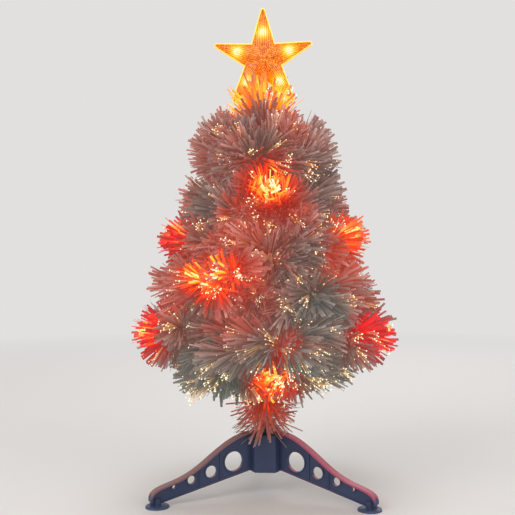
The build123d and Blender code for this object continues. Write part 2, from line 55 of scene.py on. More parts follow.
# Camera, floor and light. All colours are red, green and blue as on a screen, 0 to 255
camera_distance = 1.0
camera_height = 0.2904
camera_turn = radians(4)
camera_roll = radians(-0.4)
camera_aside = 0.0088  # the tree stands this far right of the middle of the view
focal_share = 1.561  # of the picture's width
sensor_width = 36  # in millimetres
floor_size = 30.0
floor_colour = (226, 224, 222)
backdrop_from = 0.5
backdrop_to = 2.2
sky_light = 0.62
light_aim = Vector((0, 0, 0.3))
soft_lights = (  # place, size and power
    ((-1.3, -1.5, 1.5), 1.3, 17),
    ((1.5, -1.2, 1.1), 1.4, 10),
    ((0.3, 1.6, 1.4), 1.2, 11),
    ((0.0, 0.0, 2.2), 1.2, 9),
)

# Branches, as in the frame. Each list for the tiers runs from the top down
tiers = 6
branches_per_tier = 5
lit_branches = {  # each one's lamp and hue, and its light's radius and shift from the lamp in mm
    (3, 2): ("lamp_1", "orange", 46, (0, 0, 0)),
    (3, 5): ("lamp_2", "red", 54, (0, 0, 0)),
    (4, 5): ("lamp_3", "yellow", 54, (18, -13, 5)),
    (5, 2): ("lamp_4", "deep red", 60, (0, 0, 0)),
    (5, 5): ("lamp_5", "red", 54, (0, 0, 0)),
}

# Needles: flat plastic strips, cut square at their ends
needle_length = 44 * MM
needle_width = 2.9 * MM
needle_thickness = 0.3 * MM
needle_root_share = 0.45  # of its width, where the wire grips it
crown_needle_length = 55 * MM
foot_needle_length = 40 * MM
foot_needle_width = 2.7 * MM
needle_ring_shares = (0, 0.3, 0.65, 1)
needle_lean_power = 1.5  # how late along a wire the lean changes
needle_inner_light = 0.24  # the strips' own colour that they give off, lit by the fibres among them
strand_spin = 0.6  # radians either way
bend_share = 0.07  # of a strand's length
needle_bends = ((-1, -1, -1.4), (1, 1, 0.6))  # the most each way, in shares of the bend
tier_needles = [  # spacing in mm, lean at both ends and its spread in degrees, hang and length spread
    (0.28, root, 19, 9, hang, spread) for root, hang, spread in (
        (50, 0.02, 0.07), (50, 0.06, 0.07), (50, 0.1, 0.07), (50, 0.12, 0.07), (48, 0.1, 0.15),
        (36, 0.06, 0.42))
]
trunk_needles = {  # the same, and the seed
    "foot_needles": (0.2, 66, 80, 30, 0.12, 0.3, 7),
    "inner_needles": (0.3, 66, 60, 26, 0.1, 0.2, 6),
    "crown_tuft": (0.085, 62, 24, 20, 0.0, 0.35, 8),
}

# Wires: each twig leaves the main wire at a share of it, turned and pitched, to a share of the reach
wire_radius = 0.45 * MM
wire_sides = 5
wire_twist = 900.0  # radians in a metre
wire_step = 2.2 * MM
wire_gap = 39 * MM  # from a wire's end to the needles' outer ends
twig_plan = (
    (0.10, 60, 14, 0.84), (0.10, -60, -6, 0.84), (0.34, 62, -16, 0.93), (0.34, -62, 18, 0.93),
    (0.60, 56, 16, 0.98), (0.60, -56, -18, 0.98), (0.80, 44, -20, 0.98), (0.80, -44, 20, 0.98),
)
main_spread = (3, 2)  # degrees that a main wire may turn and pitch either way
twig_yaw_spread = 8
twig_pitch_spread = 5
tier_droop = [radians(a) for a in (15, 18, 26, 26, 4, -12)]  # how far a wire's end bends down
tier_pitch = (1, 1, 1, 1, 0.8, 0.4)  # how far up and down the twigs stand
tier_yaw = (1, 1, 1, 1, 0.95, 0.6)  # how far apart the twigs stand
branch_droop = {  # degrees more for some branches
    (1, 5): -16, (5, 4): 6, (5, 5): 9, (6, 1): 9, (6, 2): 5, (6, 4): 13, (6, 5): 17,
}
droop_spread = (0.5, 1.4)
main_droop = 1.7  # times as much for a branch's main wire, but hardly where it holds a lamp
lamp_droop = 0.1
front_swerve = radians(66)  # how far the ends of the front and back wires bend sideways
twig_swerve_share = 0.4
twig_shortest = 9 * MM
twig_longest = 62 * MM
twig_points = 7
wire_wander = 1.5 * MM

# The eye at the end of a branch's wire
eye_inner = 1.06 * MM
eye_outer = 2.8 * MM
eye_half_width = 2.0 * MM
eye_bevel = 0.35 * MM
eye_steps = 20

# Optical fibres, in bunches
fibre_radius = 0.4 * MM
fibre_length = 52 * MM
fibre_tip_radius = 0.85 * MM
fibre_sides = 4
fibre_rings = (  # share of the length, less how many tip radii, then the ring's radius and light
    (0, 0, fibre_radius, 0), (0.5, 0, fibre_radius, 0), (1, 1.8, fibre_radius, 0),
    (1, 1.2, fibre_tip_radius, 1), (1, 0.3, fibre_tip_radius, 1), (1, 0, fibre_radius, 1),
)
fibre_shortening = 0.3  # at a wire's end
fibre_length_spread = 0.4
fibre_bends = ((-1, -1, -1.6), (1, 1, 0.4))
fibre_hang = (0.02, 0.06, 0.1, 0.12, 0.2, 0.3)
fibres_in_bunch = 10
bunch_spacing = [d * MM for d in (26, 24, 22, 20, 14, 12)]
bunch_spread = 0.12
bunch_lean = radians(26)
bunch_lean_shares = (0.4, 1.3)

# Needles and fibres on the trunk
trunk_needle_gap = 0.4 * MM
crown_height = 46 * MM
crown_top_gap = 1 * MM
foot_overlap = 2 * MM
trunk_fibre_gap = 20 * MM
trunk_bunch_spacing = 9 * MM
trunk_bunch_lean = radians(62)
trunk_fibre_hang = 0.1
trunk_fibre_seed = 9

# What each random draw adds to a piece's seed
draws = {"lean": 1, "turn": 2, "needle bend": 3, "bunch": 4, "spread": 5, "fibre bend": 6, "spin": 11,
         "length": 12, "tint": 13, "fan": 21}

# Colours along a factor, each with its place on it
# painted light: the mauve and pink cast of the lamps' red light on the white needle strips
needle_stops = ((0.2, 204, 102, 82), (0.42, 184, 108, 94), (0.62, 158, 106, 97), (0.82, 136, 112, 106))
# painted light: the red that the lamps above cast on the foot needles
foot_lamp_stops = ((0.3, 150, 66, 50), (0.5, 196, 88, 68), (0.75, 226, 112, 90))
fibre_stops = ((0.1, 255, 252, 238), (0.42, 255, 240, 196), (0.58, 255, 210, 124), (0.7, 255, 140, 76),
               (0.8, 255, 246, 210), (0.94, 110, 255, 160))
amber_stops = ((0.0, 140, 56, 0), (0.25, 160, 72, 0), (0.5, 222, 140, 4), (0.72, 252, 222, 50),
               (0.86, 255, 255, 210))

# Light on the needles, by hue: the glow from its black rim to its middle, the lit colour painted into the
# strips near it, how little and how much a strip catches, how fast that colour comes in, and its share
warm_stops = ((0.3, 64, 12, 8), (0.48, 160, 44, 26), (0.6, 244, 100, 40), (0.7, 255, 176, 50),
              (0.8, 255, 226, 90), (0.92, 255, 252, 200))
star_stops = ((0.2, 90, 30, 6), (0.42, 206, 92, 20), (0.66, 250, 176, 36), (0.9, 255, 228, 90))
red_stops = ((0.18, 50, 6, 8), (0.38, 108, 14, 18), (0.62, 164, 24, 30), (0.84, 218, 40, 40),
             (0.95, 250, 104, 48), (1.0, 255, 176, 60))
orange_stops = ((0.18, 74, 16, 6), (0.4, 176, 50, 22), (0.64, 226, 84, 34), (0.88, 250, 130, 52),
                (1.0, 255, 214, 110))
yellow_stops = ((0.26, 120, 24, 10), (0.44, 236, 72, 30), (0.6, 255, 106, 38), (0.72, 255, 206, 40),
                (0.84, 255, 250, 190))
trunk_light = ((0.72, 1.27), 1.9, 1)
branch_light = ((0.42, 1.37), 2.6, 0.9)
hues = {
    "trunk": (warm_stops, (190, 60, 40), *trunk_light),
    "star": (star_stops, (206, 120, 62), *trunk_light),
    "red": (red_stops, (196, 58, 56), *branch_light),
    "deep red": (red_stops, (204, 52, 58), *branch_light),
    "orange": (orange_stops, (196, 84, 50), *branch_light),
    "yellow": (yellow_stops, (190, 70, 50), *branch_light),
}

# Spots among the needles: direction round the trunk in degrees, then reach, height and radius in mm
trunk_lights = ((279, 88, 376, 49), (96, 80, 262, 50), (280, 84, 152, 44), (275, 38, 124, 32))
blush_places = (  # reddened by the lamps from afar
    (280, 80, 366, 60), (254, 118, 244, 58), (212, 128, 256, 52), (286, 112, 192, 26),
    (330, 112, 286, 44), (270, 20, 120, 56), (100, 80, 262, 60),
)
grey_places = (
    (302, 118, 270, 52), (336, 100, 372, 52), (208, 96, 372, 46), (216, 104, 338, 44),
    (303, 125, 226, 56), (276, 60, 418, 34), (150, 110, 300, 60), (40, 120, 240, 60),
)
teal_places = ((303, 130, 224, 58), (228, 120, 228, 36), (20, 130, 230, 50))  # tinted by the fibres
star_glows = ((-34, -10, 3, 40), (27, -10, 3, 40), (-3, -10, 14, 37))  # from the star's foot, in mm

# Heights between which a tint comes in
low_needles = (0.25, 0.175)
low_fibres = (0.25, 0.19)
# painted light: the heights where the red of the lamps above comes into the foot needles
red_foot = (0.085, 0.115)

# Stand
flange_inside = 2.6 * MM  # half the thickness of what isn't flange
lamp_glow_from = 10 * MM  # the height where the painted rose glow of the lamps' light starts
# painted light: each leg's rose glow from the lamps' red light, on its upward faces and flange
leg_lamp_glow = {
    "stand_leg_front_left": (150, 104, 102),
    "stand_leg_front_right": (194, 88, 110),
    "stand_leg_back": (120, 92, 104),
}

# Star
star_radius = 72 * MM
star_notch = 25 * MM
star_round = 3 * MM
star_points = 5
star_rim_depth = 2 * MM
star_peak = 10 * MM
star_face_shares = (0.86, 0.93)
star_rim_width = 1.5 * MM
star_rim_bead = 0.9 * MM
star_rib_pitch = 2.3 * MM
star_rib_height = 0.6 * MM
star_rib_share = 0.6  # of the relief, and the rest is cuts across the ribs
star_cut_pitch = 3.1 * MM
star_cut_slant = 9
star_flat_ribs = 4  # the middle is flatter for this many ribs
star_crease_width = 1.1 * MM
star_steps_out = 44
star_steps_edge = 40
star_ring_power = 1.35  # the rings lie closer together towards the rim
star_lamp_reach = 34 * MM
star_lamp_radius = 18.5 * MM
star_turn = pi / star_points  # half of the angle from one point to the next
star_half_angle = atan(star_notch * sin(star_turn) / (star_radius - star_notch * cos(star_turn)))
star_round_x = star_radius - star_round / sin(star_half_angle)
star_centre = Vector((0, 0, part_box("star_front")[1].z - (star_round_x + star_round)))


def linear(colour):
    """A screen colour as the linear numbers that nodes take."""
    screen = [c / 255 for c in colour]
    return tuple(c / 12.92 if c <= 0.04045 else ((c + 0.055) / 1.055) ** 2.4 for c in screen) + (1,)


def operator(operation, swapped=False):
    """One of a Wire's operators, or its reflected form, which has the wire last."""
    def apply(wire, other):
        values = (other, wire) if swapped else (wire, other)
        return wire.web.maths(operation, *values)
    return apply


class Wire:
    """A node's output that Python's arithmetic can use: each step adds a Math node."""

    __add__ = __radd__ = operator("ADD")
    __sub__ = operator("SUBTRACT")
    __rsub__ = operator("SUBTRACT", swapped=True)
    __mul__ = __rmul__ = operator("MULTIPLY")
    __truediv__ = operator("DIVIDE")
    __rtruediv__ = operator("DIVIDE", swapped=True)
    __pow__ = operator("POWER")
    __rpow__ = operator("POWER", swapped=True)

    def __init__(self, web, socket):
        self.web = web
        self.socket = socket

    def other(self, name):
        """Another output of the same node."""
        return Wire(self.web, pick(self.socket.node.outputs, name))

    def clamp(self):
        """Held between 0 and 1."""
        return self.web.maths("MINIMUM", self.web.maths("MAXIMUM", self, 0), 1)

    def span(self, low, high):
        """From low, where this is 0, to high, where it is 1."""
        return self * (high - low) + low

    def rise(self, start, end):
        """0 at the start, 1 at the end, and held there."""
        return ((self - start) / (end - start)).clamp()


def pick(sockets, key):
    """A socket by its number, its identifier or its name."""
    if isinstance(key, int):
        return sockets[key]
    for socket in sockets:
        if socket.identifier == key:
            return socket
    return sockets[key]


class Web:
    """A node tree, of a material or of geometry, and the one way to add to it."""

    def __init__(self, tree):
        self.tree = tree

    def add(self, kind, sockets=None, output=0, **settings):
        """Adds a node, makes its settings, then fills its sockets, and gives one output."""
        node = self.tree.nodes.new(kind)
        for name, value in settings.items():
            if name == "stops":
                self.set_stops(node.color_ramp, value)
            else:
                setattr(node, name, value)
        for key, value in (sockets or {}).items():
            self.fill(pick(node.inputs, key), value)
        return Wire(self, pick(node.outputs, output)) if len(node.outputs) else node

    def fill(self, socket, value):
        """Links a wire, or each wire of a list, to a socket, or sets the socket to a value."""
        if isinstance(value, list):
            for wire in value:
                self.fill(socket, wire)
        elif isinstance(value, Wire):
            self.tree.links.new(value.socket, socket)
        else:
            socket.default_value = linear(value) if socket.type == "RGBA" else value

    def set_stops(self, ramp, stops):
        """A colour ramp's stops, each a place and its colour."""
        while len(ramp.elements) < len(stops):
            ramp.elements.new(1)
        for element, (place, *colour) in zip(ramp.elements, stops):
            element.position = place
            element.color = linear(colour)

    def maths(self, operation, *values):
        """One step of arithmetic."""
        return self.add("ShaderNodeMath", dict(enumerate(values)), operation=operation)

    def vector(self, operation, *values, output="Vector"):
        """One step of vector arithmetic. A SCALE takes its number last."""
        sockets = dict(enumerate(values))
        if operation == "SCALE":
            sockets = {0: values[0], "Scale": values[1]}
        return self.add("ShaderNodeVectorMath", sockets, output, operation=operation)


class Paint(Web):
    """A material: a Principled shader, and what feeds it."""

    def __init__(self, name):
        self.material = bpy.data.materials.new(name)
        self.material.use_nodes = True
        super().__init__(self.material.node_tree)
        self.tree.nodes.clear()
        self.place = self.add("ShaderNodeTexCoord", output="Object")

    def mix(self, factor, first, second, blend="MIX"):
        """One colour over another."""
        sockets = {"Factor_Float": factor, "A_Color": first, "B_Color": second}
        return self.add("ShaderNodeMix", sockets, "Result_Color", data_type="RGBA", blend_type=blend)

    def layered(self, tone, *layers):
        """A tone under layers: what each one follows, its slope and start there, its share and colour."""
        for follows, slope, start, share, colour in layers:
            tone = self.mix((follows * slope + start).clamp() * share, tone, colour)
        return tone

    def noise(self, scale, detail=3.0):
        """A noise pattern in metres, 0 to 1."""
        sockets = {"Vector": self.place, "Scale": scale, "Detail": detail, "Roughness": 0.55}
        return self.add("ShaderNodeTexNoise", sockets, "Fac")

    def ramp(self, factor, *stops):
        """Colours along a factor."""
        return self.add("ShaderNodeValToRGB", {"Fac": factor}, "Color", stops=stops)

    def own(self, name):
        """An attribute of the piece."""
        return self.add("ShaderNodeAttribute", output="Fac", attribute_name=name)

    def upward(self, vector):
        """How far up a vector goes. For a place, that is its height."""
        return self.add("ShaderNodeSeparateXYZ", {"Vector": vector}, "Z")

    def near(self, centre, radius):
        """1 at a place, falling to 0 at a radius round it."""
        distance = self.vector("DISTANCE", self.place, tuple(centre), output="Value")
        return (1 - distance / radius).clamp()

    def nearest(self, places):
        """The most of near() over some centres and radii."""
        return reduce(lambda most, near: self.maths("MAXIMUM", most, near),
                      [self.near(*place) for place in places])

    def bump(self, height, strength, distance):
        """A normal for small relief."""
        sockets = {"Height": height, "Strength": strength, "Distance": distance}
        return self.add("ShaderNodeBump", sockets, "Normal")

    def finish(self, **sockets):
        """Puts the shader in place. Words of a socket's name are joined by _."""
        named = {name.replace("_", " "): value for name, value in sockets.items()}
        shader = self.add("ShaderNodeBsdfPrincipled", named, "BSDF")
        self.add("ShaderNodeOutputMaterial", {"Surface": shader})
        return self.material


class Maker(Web):
    """A Geometry Nodes tree with named inputs that turns a piece's paths into its finished mesh."""

    def __init__(self, name, **inputs):
        """The inputs are the labels of each kind of socket."""
        tree = bpy.data.node_groups.new(name, "GeometryNodeTree")
        super().__init__(tree)
        self.names = {}
        for kind, labels in {"Geometry": ("Geometry",), **inputs}.items():
            for label in labels:
                socket = tree.interface.new_socket(label, in_out="INPUT", socket_type="NodeSocket" + kind)
                self.names[label] = socket.identifier
        tree.interface.new_socket("Geometry", in_out="OUTPUT", socket_type="NodeSocketGeometry")
        self.entry = self.add("NodeGroupInput")

    def given(self, label):
        """What comes in under a label."""
        return self.entry.other(label)

    def random(self, low, high, draw):
        """A random number, or vector, for each element."""
        kind, end = ("FLOAT_VECTOR", "") if isinstance(low, tuple) else ("FLOAT", "_001")
        sockets = {"Min" + end: low, "Max" + end: high, "Seed": self.given("Seed") + draws[draw]}
        return self.add("FunctionNodeRandomValue", sockets, "Value" + end, data_type=kind)

    def tossed(self, low, high, draw, label):
        """A random vector, scaled by the size that comes in under a label."""
        return self.vector("SCALE", self.random(low, high, draw), self.given(label))

    def store(self, geometry, name, value, domain="POINT", kind="FLOAT"):
        """Keeps a value on the geometry under a name."""
        sockets = {"Geometry": geometry, "Name": name, "Value": value}
        return self.add("GeometryNodeStoreNamedAttribute", sockets, data_type=kind, domain=domain)

    def stored(self, name, kind="FLOAT"):
        """A value that was kept under a name."""
        return self.add("GeometryNodeInputNamedAttribute", {"Name": name}, data_type=kind)

    def moved(self, geometry, offset):
        """The geometry with its points moved."""
        return self.add("GeometryNodeSetPosition", {"Geometry": geometry, "Offset": offset})

    def curves(self, spacing, fan=False):
        """The piece's paths as curves with evenly spaced points, each with its own fan number if asked."""
        curve = self.add("GeometryNodeMeshToCurve", {"Mesh": self.given("Geometry")})
        if fan:
            curve = self.store(curve, "fan", self.random(0, 1, "fan"), "CURVE")
        sockets = {"Curve": curve, "Length": self.given(spacing)}
        return self.add("GeometryNodeResampleCurve", sockets, mode="LENGTH")

    def points_along(self):
        """Points along the paths, with how far along its path each is, its tangent and its side."""
        far = self.add("GeometryNodeSplineParameter", output="Factor")
        curve = self.store(self.curves("Spacing", fan=True), "far", far)
        return self.add("GeometryNodeCurveToPoints", {"Curve": curve}, mode="EVALUATED")

    def turned(self, first, second, turn):
        """A direction turned from a first one towards a second one."""
        return self.vector("ADD", self.vector("SCALE", first, self.maths("COSINE", turn)),
                           self.vector("SCALE", second, self.maths("SINE", turn)))

    def leaning(self, points, lean):
        """A direction that leans from a point's path, all round it, and the way out from the path."""
        tangent = points.other("Tangent")
        side = points.other("Normal")
        across = self.vector("CROSS_PRODUCT", tangent, side)
        out = self.turned(side, across, self.random(0, 2 * pi, "turn"))
        down = self.add("ShaderNodeCombineXYZ", {"Z": 0 - self.given("Hang")})
        return self.vector("ADD", self.turned(tangent, out, lean), down), out

    def strands(self, points, aim, out, bend):
        """A strand on each point, along its aim and flat side out, with a random length, spin and tint."""
        turned = self.add("FunctionNodeAlignRotationToVector", {"Vector": aim}, axis="Z")
        turned = self.add("FunctionNodeAlignRotationToVector", {"Rotation": turned, "Vector": out},
                          axis="Y", pivot_axis="Z")
        spin = self.add("FunctionNodeAxisAngleToRotation",
                        {"Axis": (0, 0, 1), "Angle": self.random(-strand_spin, strand_spin, "spin")})
        turned = self.add("FunctionNodeRotateRotation", {"Rotation": turned, "Rotate By": spin},
                          rotation_space="LOCAL")
        size = self.random(1 - self.given("Length spread"), 1, "length")
        size = size * (1 - self.given("Shortening") * self.stored("far"))
        points = self.store(points, "bend", bend, kind="FLOAT_VECTOR")
        points = self.store(points, "tint", self.random(0, 1, "tint"))
        strand = self.add("GeometryNodeObjectInfo", {"Object": self.given("Strand")}, "Geometry")
        scale = self.add("ShaderNodeCombineXYZ", {"X": 1, "Y": 1, "Z": size})
        return self.add("GeometryNodeInstanceOnPoints",
                        {"Points": points, "Instance": strand, "Rotation": turned, "Scale": scale})

    def finish(self, geometry):
        """Realizes the instances, bends each strand more towards its end, and sets the material."""
        whole = self.add("GeometryNodeRealizeInstances", {"Geometry": geometry})
        along = self.stored("along")
        whole = self.moved(whole, self.vector("SCALE", self.stored("bend", "FLOAT_VECTOR"), along * along))
        for name in ("bend", "aim"):
            whole = self.add("GeometryNodeRemoveAttribute", {"Geometry": whole, "Name": name})
        painted = self.add("GeometryNodeSetMaterial", {"Geometry": whole, "Material": self.given("Material")})
        self.add("NodeGroupOutput", {"Geometry": painted})
        return self


def needle_maker():
    """Needles all round paths, leaning forward more towards a path's end, like a bottle brush."""
    maker = Maker("needles_on_wires", Object=("Strand",), Material=("Material",), Int=("Seed",), Float=(
        "Spacing", "Root radius", "Lean at root", "Lean at tip", "Lean spread", "Hang", "Bend",
        "Length spread", "Shortening"))
    points = maker.points_along()
    low, high = maker.given("Lean at root"), maker.given("Lean at tip")
    lean = low + (high - low) * maker.stored("far") ** needle_lean_power
    lean = lean + maker.given("Lean spread") * maker.random(-1, 1, "lean")
    aim, out = maker.leaning(points, lean)
    rooted = maker.moved(points, maker.vector("SCALE", out, maker.given("Root radius")))
    bend = maker.tossed(*needle_bends, "needle bend", "Bend")
    return maker.finish(maker.strands(rooted, aim, out, bend))


def fibre_maker():
    """Bunches of optical fibres that leave a path together and spread a little."""
    maker = Maker("fibres_in_bunches", Object=("Strand",), Material=("Material",), Int=("Count", "Seed"),
                  Float=("Spacing", "Lean", "Spread", "Hang", "Bend", "Length spread", "Shortening"))
    points = maker.points_along()
    lean = maker.given("Lean") * maker.random(*bunch_lean_shares, "lean")
    bunches = maker.store(points, "aim", maker.leaning(points, lean)[0], kind="FLOAT_VECTOR")
    bunches = maker.store(bunches, "bunch", maker.random(0, 1, "bunch"))
    fibres = maker.add("GeometryNodeDuplicateElements",
                       {"Geometry": bunches, "Amount": maker.given("Count")}, domain="POINT")
    spread = maker.tossed((-1, -1, -1), (1, 1, 1), "spread", "Spread")
    aim = maker.vector("ADD", maker.stored("aim", "FLOAT_VECTOR"), spread)
    bend = maker.tossed(*fibre_bends, "fibre bend", "Bend")
    return maker.finish(maker.strands(fibres, aim, (0, 0, 1), bend))


def wire_maker():
    """Two wires twisted round each other along a path."""
    maker = Maker("twisted_wire", Material=("Material",), Float=("Step", "Radius", "Twist"))
    curve = maker.curves("Step")
    side = maker.add("GeometryNodeInputNormal")
    across = maker.vector("CROSS_PRODUCT", maker.add("GeometryNodeInputTangent"), side)
    turn = maker.add("GeometryNodeSplineParameter", output="Length") * maker.given("Twist")
    radius = maker.given("Radius")
    circle = {"Resolution": wire_sides, "Radius": radius}
    profile = maker.add("GeometryNodeCurvePrimitiveCircle", circle, "Curve")
    tubes = []
    for phase in (0, pi):
        strand = maker.moved(curve, maker.vector("SCALE", maker.turned(side, across, turn + phase), radius))
        sweep = {"Curve": strand, "Profile Curve": profile, "Fill Caps": True}
        tubes.append(maker.add("GeometryNodeCurveToMesh", sweep))
    joined = maker.add("GeometryNodeJoinGeometry", {"Geometry": tubes})
    return maker.finish(maker.add("GeometryNodeSetShadeSmooth", {"Geometry": joined}))


def placed(name, data):
    """A new object in the scene."""
    piece = bpy.data.objects.new(name, data)
    bpy.context.scene.collection.objects.link(piece)
    return piece


def mesh_piece(name, points, faces, edges=(), smooth=False, **attributes):
    """An object from points, faces or edges, and attributes of its points."""
    mesh = bpy.data.meshes.new(name)
    mesh.from_pydata([tuple(p) for p in points], list(edges), list(faces))
    for label, values in attributes.items():
        mesh.attributes.new(label, "FLOAT", "POINT").data.foreach_set("value", values)
    mesh.polygons.foreach_set("use_smooth", [smooth] * len(mesh.polygons))
    mesh.update()
    return placed(name, mesh)


def grown(name, paths, kit, **values):
    maker, common = kit
    edges = []
    start = 0
    for path in paths:
        edges += [(start + i, start + i + 1) for i in range(len(path) - 1)]
        start += len(path)
    seed = mesh_piece(name + "_paths", [point for path in paths for point in path], (), edges)
    modifier = seed.modifiers.new("grow", "NODES")
    modifier.node_group = maker.tree
    for label, value in {**common, **values}.items():
        modifier[maker.names[label.replace("_", " ")]] = value
    graph = bpy.context.evaluated_depsgraph_get()
    mesh = bpy.data.meshes.new_from_object(seed.evaluated_get(graph), depsgraph=graph)
    seed.modifiers.remove(modifier)
    bpy.data.objects.remove(seed)
    mesh.name = name
    return placed(name, mesh)


def dress(piece, body, slot, *nodes):
    """A finished piece on its body, with the nodes that it stands for hidden. Its slot is not used."""
    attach(piece, body)
    if nodes:
        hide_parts(*nodes)


def tube_faces(rings, sides):
    """The faces of a closed tube, ring after ring of points."""
    faces = [tuple(range(sides))[::-1]]
    for ring in range(rings - 1):
        for i in range(sides):
            low, next_low = sides * ring + i, sides * ring + (i + 1) % sides
            faces.append((low, next_low, next_low + sides, low + sides))
    last = sides * (rings - 1)
    return faces + [tuple(range(last, last + sides))]


def needle_strand(name, length, full_width):
    """One needle along +Z: a thin strip with a low ridge down its back, gripped narrow at its root."""
    points = []
    along = []
    for share in needle_ring_shares:
        width = full_width * (needle_root_share if share == 0 else 1)
        section = ((-width / 2, 0), (width / 2, 0), (0, needle_thickness))
        points += [(x, y, share * length) for x, y in section]
        along += [share] * len(section)
    return mesh_piece(name, points, tube_faces(len(needle_ring_shares), len(section)), along=along)


def fibre_strand():
    """One optical fibre along +Z: a thin stem with a small bright bead where it is cut."""
    bead = fibre_tip_radius / fibre_length
    points = []
    along = []
    lit = []
    for far, beads, radius, light in fibre_rings:
        share = far - beads * bead
        for i in range(fibre_sides):
            turn = 2 * pi * i / fibre_sides
            points.append((radius * cos(turn), radius * sin(turn), share * fibre_length))
            along.append(share)
            lit.append(light)
    return mesh_piece("fibre_strand", points, tube_faces(len(fibre_rings), fibre_sides), along=along, lit=lit)


class Branch:
    """A branch of the frame: its hinge, the way it points, and how far its needles may reach."""

    def __init__(self, tier, number):
        self.key = (tier, number)
        self.body = f"branch_{tier}_{number}"
        joint = next(j for j in frame["joints"] if j["child"] == self.body)
        self.hinge = Vector(joint["pos_m"])
        self.side = -Vector(joint["axis"])
        self.out = Vector((-joint["axis"][1], joint["axis"][0], 0))
        brush = [v.co for v in frame["nodes"][self.body].data.vertices]
        middle = sum(brush, Vector()) / len(brush) - self.hinge
        self.rise = atan2(middle.z, middle.dot(self.out))
        self.reach = max(v.dot(self.out) for v in brush)
        self.droop = tier_droop[tier - 1] + radians(branch_droop.get(self.key, 0))
        self.main_droop = lamp_droop if self.key in lit_branches else main_droop
        self.yaw = tier_yaw[tier - 1]
        self.pitch = tier_pitch[tier - 1]
        self.swerve = front_swerve * self.out.y ** 2

    def direction(self, yaw, pitch):
        """The branch's own direction, turned sideways and pitched, in radians."""
        level = self.out * cos(yaw) + self.side * sin(yaw)
        rise = self.rise + pitch
        return level * cos(rise) + UP * sin(rise)

    def length(self, start, way, reach):
        """How long a wire is from its start until it is reach away from the trunk's axis."""
        a = way.x ** 2 + way.y ** 2
        b = start.x * way.x + start.y * way.y
        c = start.x ** 2 + start.y ** 2 - reach ** 2
        return (-b + sqrt(max(b * b - a * c, 0))) / a

    def paths(self, dice):
        """The main wire and its twigs, each with its end bent down."""
        swerve = 0 if self.key in lit_branches else self.swerve * dice.choice((-1, 1))
        turn, rise = [radians(dice.uniform(-most, most)) for most in main_spread]
        main = self.path(self.hinge, turn, rise, 1, dice, self.main_droop, swerve)
        paths = [main]
        for share, yaw, pitch, reach_share in twig_plan:
            start = main[round(share * (twig_points - 1))]
            turn = radians(yaw + dice.uniform(-twig_yaw_spread, twig_yaw_spread)) * self.yaw
            swerve = self.swerve * (twig_swerve_share if turn > 0 else -twig_swerve_share)
            rise = radians(pitch + dice.uniform(-twig_pitch_spread, twig_pitch_spread)) * self.pitch
            path = self.path(start, turn, rise, reach_share, dice, 1, swerve)
            if path:
                paths.append(path)
        return paths

    def path(self, start, yaw, pitch, reach_share, dice, more, swerve):
        """Points along a wire that leaves its start, wanders, and bends down and sideways at its end."""
        droop = self.droop * dice.uniform(*droop_spread) * more
        chord = self.direction(yaw + swerve / 3, pitch - droop / 2)  # the mean of the steps' directions
        length = self.length(start, chord, self.reach * reach_share - wire_gap)
        if start != self.hinge:
            if length < twig_shortest:
                return None
            length = min(length, twig_longest)
        wander = Vector([dice.uniform(-1, 1) for _ in range(3)]) * wire_wander
        steps = twig_points - 1
        points = [start.copy()]
        for i in range(steps):
            far = (i + 0.5) / steps
            step = self.direction(yaw + swerve * far ** 2, pitch - droop * far) * length / steps
            points.append(points[-1] + step)
        return [p + wander * sin(pi * i / steps) for i, p in enumerate(points)]


def box_centre(node):
    """The middle of a frame node's box."""
    low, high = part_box(node)
    return (low + high) / 2


def spots(rows):
    """Centres and radii of spots round the trunk."""
    found = []
    for direction, reach, height, radius in rows:
        turn = radians(direction)
        found.append((Vector((reach * cos(turn), reach * sin(turn), height)) * MM, radius * MM))
    return found


def lights_in_needles(own):
    """Centre, radius and hue of the trunk's lights, the star's and that of the branch's own lamp."""
    lights = [(*spot, "trunk") for spot in spots(trunk_lights)]
    star_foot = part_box("star_front")[0].z
    for *place, radius in star_glows:
        lights.append((Vector(place) * MM + UP * star_foot, radius * MM, "star"))
    if own:
        lamp, hue, radius, shift = own
        lights.append((box_centre(lamp) + Vector(shift) * MM, radius * MM, hue))
    return lights


